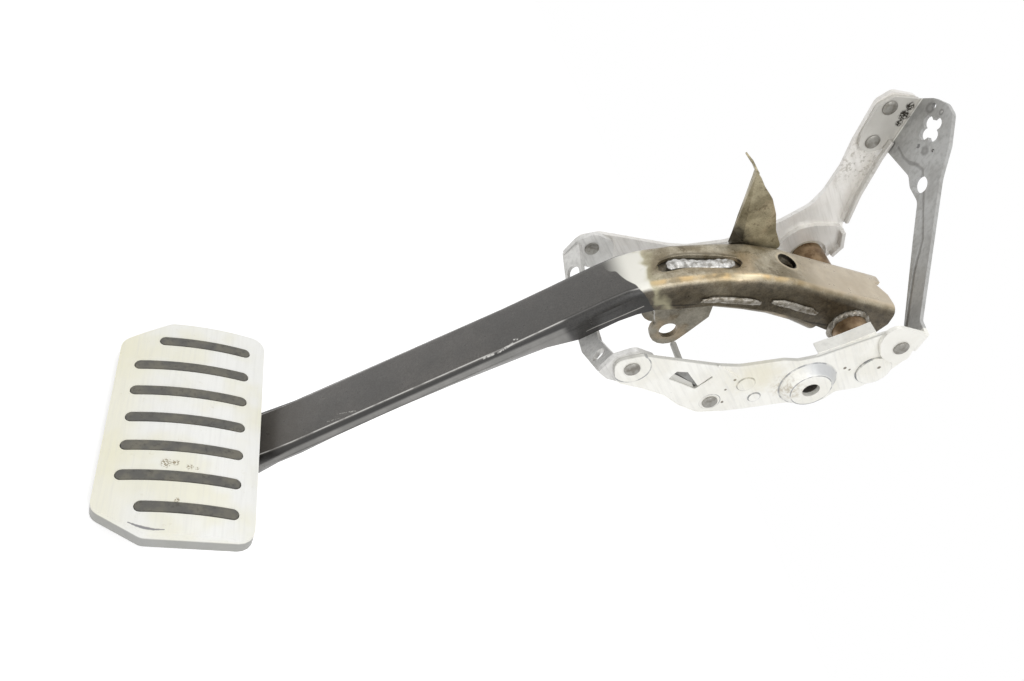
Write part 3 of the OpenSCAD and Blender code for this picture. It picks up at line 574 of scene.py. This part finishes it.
def arm_zinc():
    f = Finish("arm_zinc", 0.36, 0.5)
    f.colour(worn_zinc(f, paint(148, 143, 130), paint(112, 107, 95)))
    f.roughness(f.clouds(4, 4), 0.3, 0.46)
    f.bump(f.clouds(1.4, 3), 0.03)
    return f.material


def flag_zinc():
    f = Finish("flag_zinc", 0.36, 0.4)
    base = worn_zinc(f, paint(178, 168, 140), paint(136, 127, 101))
    foot = f.math("ADD", f.along((0, 0, 1), (0, 0, 45)), f.step(f.clouds(4, 4), 0.2, 0.8, -3, 3))
    foot = f.times(f.step(foot, -3, 3, 0.85, 0.0), f.step(f.along((1, 0, 0)), -22, -12))
    f.colour(f.lay(base, foot, paint(46, 42, 34)))
    f.roughness(f.clouds(4, 4), 0.3, 0.46)
    f.bump(f.clouds(1.4, 3), 0.03)
    return f.material


def plated(name, light, dark, streak, rough, metal):
    """Bright zinc plate with soft clouding, fine rolling lines and a few specks."""
    f = Finish(name, rough, metal)
    base = f.blend(f.step(f.clouds(16, 4, 0.6), 0.38, 0.66), light, dark)
    rolled = f.clouds(1.4, 4, 0.6, f.turned((0, 35, 0), (0.08, 1, 1)))
    base = f.lay(base, f.step(rolled, 0.42, 0.74, 0.0, 0.5), streak)
    base = f.lay(base, f.step(f.clouds(1.1, 4, 0.7), 0.68, 0.74, 0.0, 0.5), paint(96, 88, 74))
    return f, base, rolled


def finish_plated(f, base, rolled, low, high):
    f.colour(base)
    f.roughness(rolled, low, high)
    f.bump(f.clouds(9, 3), 0.1)
    f.bump(f.clouds(0.9, 3), 0.015)
    return f.material


def bright_zinc():
    """The right plate's finish, with the faint outlines of its pressed forms, their slopes and its inward
    flanges painted darker as painted shade.
    """
    f, base, rolled = plated("bright_zinc", paint(249, 248, 242), paint(241, 239, 230), paint(224, 223, 218),
                             0.36, 0.15)
    smudge = f.times(f.spot((25, -40, 35), 5.5, 0.7, 0.9, 2.5), f.step(f.clouds(2, 5, 0.7), 0.42, 0.62))
    base = f.lay(base, smudge, paint(170, 156, 128), 0.6)
    for centre, radius in PLATE_SPECKS:
        base = f.lay(base, f.spot(centre, radius, 0.4, 0.6, 0.8), paint(110, 102, 88))
    # Painted shade: dark rings round the pressed forms and edges.
    outline = f.ring(*PLATE_RINGS[0])
    for ring in PLATE_RINGS[1:]:
        outline = f.either(outline, f.ring(*ring))
    base = f.lay(base, f.times(outline, f.step(f.clouds(5, 3), 0.38, 0.56, 0.15, 0.8)), paint(132, 134, 138))
    # Painted shade: the boss's upper side is painted darker.
    boss_slope_painted_shade = f.times(f.ring(BOSS, 10.4, 1.9), f.step(f.along((-0.4, 0, 0.9), BOSS), 2, 9))
    base = f.lay(base, boss_slope_painted_shade, paint(158, 162, 170), 0.6)
    # Painted shade: parts inward of the outer face, except the front flange's strip, are painted darker.
    flange = f.times(f.z_step(49.5, 50.5), f.z_step(85, 86, 1.0, 0.0), f.y_step(-37.4, -36.8))
    off_flange = f.math("SUBTRACT", 1.0, f.times(flange, 0.85))
    base = f.lay(base, f.times(f.y_step(*RIGHT_PLATE_EDGE), 0.55, off_flange), paint(160, 159, 154))
    base = f.lay(base, f.spot((12, -38.2, 26), 8, 0.8, 0.9, 4), paint(226, 218, 184), 0.4)
    return finish_plated(f, base, rolled, 0.3, 0.44)


def warm_zinc():
    """The left plate's finish."""
    f, base, rolled = plated("warm_zinc", paint(244, 242, 238), paint(232, 229, 223), paint(208, 205, 199),
                             0.34, 0.25)
    # Painted shade: parts inward of the plate's outer face are painted darker.
    base = f.lay(base, f.y_step(33.6, 34.4, 1.0, 0.0), paint(150, 147, 140), 0.35)
    grime = f.times(f.spot((-2, 36.2, 100), 9, 0.9, 0.9, 3), f.step(f.clouds(1.6, 5, 0.7), 0.5, 0.64))
    base = f.lay(base, grime, paint(140, 132, 116), 0.6)
    return finish_plated(f, base, rolled, 0.28, 0.42)


# Painted shade: the strap is the same zinc as the plates, painted darker.
def strap_zinc_painted_shade():
    f, base, rolled = plated("strap_zinc_painted_shade", paint(234, 233, 230), paint(212, 211, 207), paint(182, 181, 178),
                             0.34, 0.3)
    return finish_plated(f, base, rolled, 0.28, 0.42)


def grey_zinc():
    """The rear plate's finish: darker all over as painted shade, paler on its tabs and fold as painted light,
    with painted shade in a groove and round pressed rims, painted glints and a greasy mark.
    """
    # Painted shade: the plate is the same zinc, painted darker than the side plates.
    f, base, rolled = plated("grey_zinc", paint(182, 182, 180), paint(162, 161, 158), paint(138, 137, 133),
                             0.36, 0.3)
    # Painted light: its tabs, which face another way, are painted paler.
    left_tab_painted_light = f.blend(f.clouds(6, 4), paint(212, 210, 204), paint(190, 187, 180))
    base = f.lay(base, f.y_step(33.2, 33.9), left_tab_painted_light)
    foot_tab_painted_light = f.blend(f.clouds(6, 4), paint(248, 247, 241), paint(236, 234, 226))
    base = f.lay(base, f.step(f.along((0, -1, 0)), 36.5, 37.2), foot_tab_painted_light)
    # Painted highlight: a pale line along the fold.
    fold = f.times(f.y_step(32.9, 33.3), f.y_step(33.6, 34.0, 1.0, 0.0))
    base = f.lay(base, fold, paint(236, 235, 230))
    # Painted shade: the groove is painted dark as well as sunk.
    groove = f.path(REAR_GROOVE, 2.15, 0.12)
    base = f.lay(base, groove, paint(96, 94, 90), 0.6)
    f.bump(groove, -0.3)
    # Painted shade: a dark ring round each pressing.
    for centre, radius in REAR_PRESSINGS:
        base = f.lay(base, f.spot(centre, radius * 1.2, 0.2, 0.3, 1.5), paint(104, 102, 99), 0.6)
        base = f.lay(base, f.spot(centre, radius * 0.7, 0.25, 0.3, 1.5), paint(160, 159, 156), 0.8)
    for start, end, width in REAR_GLINTS:
        base = f.lay(base, f.line(start, end, width), paint(238, 237, 232), 0.9)
    for centre, radius in REAR_GREASE:
        grease = f.times(f.spot(centre, radius, 0.3, 0.9, 1.2), f.step(f.clouds(0.9, 3), 0.36, 0.5))
        base = f.lay(base, grease, paint(44, 40, 32))
    return finish_plated(f, base, rolled, 0.3, 0.44)


def weld_metal(name, light, dark):
    f = Finish(name, 0.3, 0.5)
    base = f.blend(f.step(f.clouds(2.6, 4, 0.6), 0.38, 0.62), light, dark)
    base = f.lay(base, f.step(f.clouds(1.4, 4, 0.6), 0.62, 0.72, 0.0, 0.6), paint(96, 88, 74))
    f.colour(base)
    f.roughness(f.clouds(1.2, 4), 0.24, 0.44)
    f.bump(f.clouds(0.9, 3, 0.5), 0.05)
    return f.material


def rivet_steel():
    f = Finish("rivet_steel", 0.4, 0.5)
    f.colour(f.blend(f.step(f.clouds(3, 5, 0.65), 0.4, 0.66), paint(156, 154, 148), paint(122, 118, 110)))
    f.roughness(f.clouds(1.5, 4), 0.32, 0.52)
    f.bump(f.clouds(0.8, 3), 0.04)
    return f.material


def dark_steel():
    f = Finish("dark_steel", 0.5, 0.3)
    f.colour(f.blend(f.step(f.clouds(6, 5, 0.65), 0.4, 0.66), paint(72, 70, 67), paint(92, 86, 76)))
    f.roughness(f.clouds(2, 4), 0.42, 0.6)
    f.bump(f.clouds(1.1, 3), 0.05)
    return f.material


def bush_plastic():
    f = Finish("bush_plastic", 0.42, 0.0)
    f.colour(f.blend(f.step(f.clouds(4, 4), 0.4, 0.66), paint(224, 219, 203), paint(200, 192, 170)))
    f.bump(f.clouds(1.3, 3), 0.03)
    return f.material


def tube_steel():
    f = Finish("tube_steel", 0.36, 0.55)
    base = f.blend(f.step(f.clouds(5, 5, 0.65), 0.38, 0.64), paint(156, 132, 102), paint(112, 88, 62))
    base = f.lay(base, f.step(f.clouds(1.2, 4), 0.64, 0.72, 0.0, 0.6), paint(70, 56, 40))
    f.colour(base)
    f.roughness(f.clouds(2, 4), 0.28, 0.46)
    f.bump(f.clouds(1.1, 3), 0.03)
    return f.material


def tongue_grey():
    """Pressed steel inside the window, painted darker as painted shade, with two drawn ridges painted as dark
    lines of painted shade.
    """
    f = Finish("tongue_grey", 0.4, 0.3)
    base = f.blend(f.step(f.clouds(4, 4), 0.4, 0.66), paint(150, 150, 148), paint(122, 121, 118))
    ridges = f.either(*[f.line(*ridge) for ridge in TONGUE_RIDGES])
    f.colour(f.lay(base, ridges, paint(70, 69, 66)))
    f.bump(ridges, -0.2)
    return f.material


# Pieces

SAME_PLACE = 0.002 * MM
FLAT_ANGLE = math.radians(0.6)
BEVEL_ANGLE = math.radians(32)
SHARP_ANGLE = math.radians(35)
BEAD_SHARP_ANGLE = math.radians(60)


def merged_copy(node):
    """The CAD node's form with its doubles merged and its flat faces whole."""
    form = bmesh.new()
    form.from_mesh(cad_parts[node].data)
    bmesh.ops.remove_doubles(form, verts=form.verts, dist=SAME_PLACE)
    bmesh.ops.dissolve_limit(form, angle_limit=FLAT_ANGLE, verts=form.verts, edges=form.edges)
    return form


def place_piece(name, form, body, material, nodes=(), sharp=SHARP_ANGLE):
    for face in form.faces:
        face.smooth = True
    mesh = bpy.data.meshes.new(name)
    form.to_mesh(mesh)
    form.free()
    mesh.set_sharp_from_angle(angle=sharp)
    mesh.materials.append(material)
    piece = bpy.data.objects.new(name, mesh)
    bpy.context.scene.collection.objects.link(piece)
    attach(piece, body)
    if nodes:
        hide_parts(*nodes)
    return piece


def break_edges(piece, width):
    edges = piece.modifiers.new("broken_edges", "BEVEL")
    edges.width = width * MM
    edges.segments = 2
    edges.limit_method = "ANGLE"
    edges.angle_limit = BEVEL_ANGLE
    edges.harden_normals = True
    edges.use_clamp_overlap = True


FLARE_START = -148 * MM
FLARE_RUN = 26 * MM
FLARE_SHARE = 0.13


def flare_foot(form):
    """The arm widens a little over its last stretch before the pad."""
    for vert in form.verts:
        part = min(max((FLARE_START - vert.co.z) / FLARE_RUN, 0), 1)
        vert.co.y *= 1 + FLARE_SHARE * part * part * (3 - 2 * part)


BEAD_EDGE = 0.45 * MM


def rippled_bead(name, node, body, slot, material, pitch, height, way, sway=0.0):
    """A weld bead with the cooled ripples of its puddle and an uneven foot. It may sway along its run."""
    form = merged_copy(node)
    bmesh.ops.triangulate(form, faces=form.faces)
    for _ in range(2):
        long_edges = [e for e in form.edges if e.calc_length() > BEAD_EDGE]
        if long_edges:
            bmesh.ops.subdivide_edges(form, edges=long_edges, cuts=1, use_grid_fill=True)
    bmesh.ops.triangulate(form, faces=form.faces)
    form.normal_update()
    way = Vector(way).normalized()
    moves = []
    for vert in form.verts:
        at = vert.co / MM
        ripple = math.sin(2 * math.pi * at.dot(way) / pitch + 1.2 * noise.noise(at * 0.4))
        rough = noise.noise(at * 0.45) + 0.2 * noise.noise(at * 1.3)
        aside = -sway * math.cos(2 * math.pi * (at - Vector(SLOT_MIDDLE)).dot(way) / SLOT_LENGTH)
        moves.append(vert.normal * MM * height * (0.7 * ripple + 0.8 * rough) + Vector((0, aside * MM, 0)))
    for vert, move in zip(form.verts, moves):
        vert.co += move
    return place_piece(name, form, body, material, (node,), BEAD_SHARP_ANGLE)


def cut_sheet(name, outline, low, high, body, material, width):
    """A flat piece of sheet in the X-Z plane between two Y values, with broken edges."""
    form = bmesh.new()
    face = form.faces.new([form.verts.new((x * MM, low * MM, z * MM)) for x, z in outline])
    raised = bmesh.ops.extrude_face_region(form, geom=[face])["geom"]
    raised = [v for v in raised if isinstance(v, bmesh.types.BMVert)]
    bmesh.ops.translate(form, verts=raised, vec=(0, (high - low) * MM, 0))
    bmesh.ops.recalc_face_normals(form, faces=form.faces)
    break_edges(place_piece(name, form, body, material), width)


# The flag's wing runs from its fold line to its slanting free edge, and is drawn out to a burr
WING_FOLD = ((-8.0, 13.2, 39.5), (-10.6, 13.2, 43.4), (-24.6, 13.2, 52.0), (-33.5, 13.2, 55.6),
             (-41.2, 13.2, 57.4), (-45.5, 15.6, 57.2))
WING_EDGE = ((-8.9, 17, 37.8), (-13.9, 17, 40.9), (-20.7, 17, 44.9), (-31.2, 17, 51.8),
             (-39.9, 17, 57.4), (-50, 17, 55.9))
WING_THICKNESS = 0.8 * MM


def folded_wing(material):
    form = bmesh.new()
    rails = []
    for points in (WING_FOLD, WING_EDGE):
        verts = [form.verts.new(Vector(p) * MM) for p in points]
        rails += [form.edges.new(pair) for pair in zip(verts, verts[1:])]
    bmesh.ops.bridge_loops(form, edges=rails)
    bmesh.ops.subdivide_edges(form, edges=form.edges[:], cuts=2, use_grid_fill=True, smooth=0.3)
    bmesh.ops.recalc_face_normals(form, faces=form.faces)
    bmesh.ops.solidify(form, geom=form.faces[:], thickness=WING_THICKNESS)
    bmesh.ops.recalc_face_normals(form, faces=form.faces)
    break_edges(place_piece("flag_wing_folded", form, "pedal", material), 0.15)


# Each row: piece, CAD node, body, record slot, finish, width of the broken edges in millimetres
DRESSED = (
    ("pad_cover_pressed", "pad_cover", "pedal", "pad_steel", "pad_steel", 0.32),
    ("pad_rubber_moulded", "pad_rubber", "pedal", "pad_rubber", "pad_rubber", 0.2),
    ("pad_plate_cut", "pad_plate", "pedal", "dark_steel", "dark_steel", 0.3),
    ("arm_rear_pressing", "arm_rear_shell", "pedal", "arm_zinc", "arm_painted", 0.3),
    ("arm_front_pressing", "arm_front_shell", "pedal", "black_paint", "front_painted", 0.3),
    ("clevis_pressing", "pushrod_clevis", "pedal", "arm_zinc", "arm_zinc", 0.35),
    ("switch_flag_folded", "switch_flag", "pedal", "arm_zinc", "flag_zinc", 0.2),
    ("pivot_tube_turned", "pivot_tube", "pedal", "arm_zinc", "tube_steel", 0.25),
    ("bush_left_moulded", "bush_left", "pedal", "bush_plastic", "bush_plastic", 0.15),
    ("bush_right_moulded", "bush_right", "pedal", "bush_plastic", "bush_plastic", 0.15),
    ("right_plate_pressed", "right_plate", "bracket", "bright_zinc", "bright_zinc", 0.32),
    ("left_plate_pressed", "left_plate", "bracket", "bright_zinc", "warm_zinc", 0.32),
    ("front_strap_folded", "front_strap", "bracket", "bright_zinc", "strap_zinc_painted_shade", 0.32),
    ("rear_plate_folded", "rear_mount_plate", "bracket", "grey_zinc", "grey_zinc", 0.28),
    ("pivot_pin_turned", "pivot_pin", "bracket", "bright_zinc", "bright_zinc", 0.25),
    ("boss_nut_forged", "boss_nut", "bracket", "dark_steel", "dark_steel", 0.35),
    ("spring_peg_turned", "spring_peg", "bracket", "bright_zinc", "bright_zinc", 0.3),
    ("strap_rivet_left_set", "strap_rivet_left", "bracket", "rivet_steel", "rivet_steel", 0.15),
    ("strap_rivet_right_set", "strap_rivet_right", "bracket", "rivet_steel", "rivet_steel", 0.15),
    ("side_rivet_set", "side_rivet", "bracket", "rivet_steel", "rivet_steel", 0.15),
    ("foot_rivet_set", "foot_rivet", "bracket", "rivet_steel", "rivet_steel", 0.15),
    ("upper_rivets_set", "upper_rivets", "bracket", "rivet_steel", "rivet_steel", 0.15),
)
FLARED = ("arm_rear_pressing", "arm_front_pressing")

# Each row: piece, CAD node, record slot, finish, pitch and height of the ripples in millimetres, way of the
# run, and for the slot's weld its sway in millimetres
BEADS = (
    ("slot_weld_bead", "slot_weld", "weld_metal", "weld_metal", 3.4, 0.26, SLOT_WAY, 0.8),
    ("seam_weld_beads", "seam_welds", "weld_metal", "side_weld", 1.7, 0.2, (0.66, 0, 0.75)),
    ("tube_weld_beads", "tube_welds", "weld_metal", "side_weld", 2.2, 0.22, (0.3, 0, 0.95)),
    ("foot_weld_beads", "foot_weld", "black_paint", "black_paint", 2.2, 0.2, (0.7, 0, 0.7)),
)
TONGUE_OUTLINE = ((-7.6, -6.0), (-9.7, -2.0), (-7.0, 1.5), (4.0, 2.7), (4.3, 1.2))
LIP_OUTLINE = ((-7.5, 115.6), (-1.4, 109.9), (13.4, 98.4), (26.6, 90.4), (25.8, 88.9), (12.4, 96.8),
               (-2.6, 108.5), (-8.7, 114.4))

set_camera()
set_studio()
for lamp in LAMPS:
    soft_lamp(*lamp)
lay_floor()
bpy.context.scene.view_settings.view_transform = "Standard"

finishes = {
    "pad_steel": pad_steel(), "pad_rubber": pad_rubber(), "black_paint": black_paint(),
    "arm_painted": arm_shell_finish(), "front_painted": front_shell_finish(), "arm_zinc": arm_zinc(),
    "flag_zinc": flag_zinc(), "bright_zinc": bright_zinc(), "strap_zinc_painted_shade": strap_zinc_painted_shade(),
    "warm_zinc": warm_zinc(), "grey_zinc": grey_zinc(),
    "weld_metal": weld_metal("weld_metal", paint(208, 207, 204), paint(146, 143, 137)),
    "side_weld": weld_metal("side_weld", paint(162, 157, 148), paint(112, 104, 90)),
    "rivet_steel": rivet_steel(), "dark_steel": dark_steel(), "bush_plastic": bush_plastic(),
    "tube_steel": tube_steel(),
}

for name, node, body, slot, finish, width in DRESSED:
    form = merged_copy(node)
    if name in FLARED:
        flare_foot(form)
    break_edges(place_piece(name, form, body, finishes[finish], (node,)), width)

for name, node, slot, finish, *shape in BEADS:
    rippled_bead(name, node, "pedal", slot, finishes[finish], *shape)

folded_wing(finishes["flag_zinc"])
cut_sheet("window_tongue", TONGUE_OUTLINE, -37.1, -36.4, "bracket", tongue_grey(), 0.1)
cut_sheet("left_arm_lip", LIP_OUTLINE, 31.6, 34.3, "bracket", finishes["warm_zinc"], 0.5)
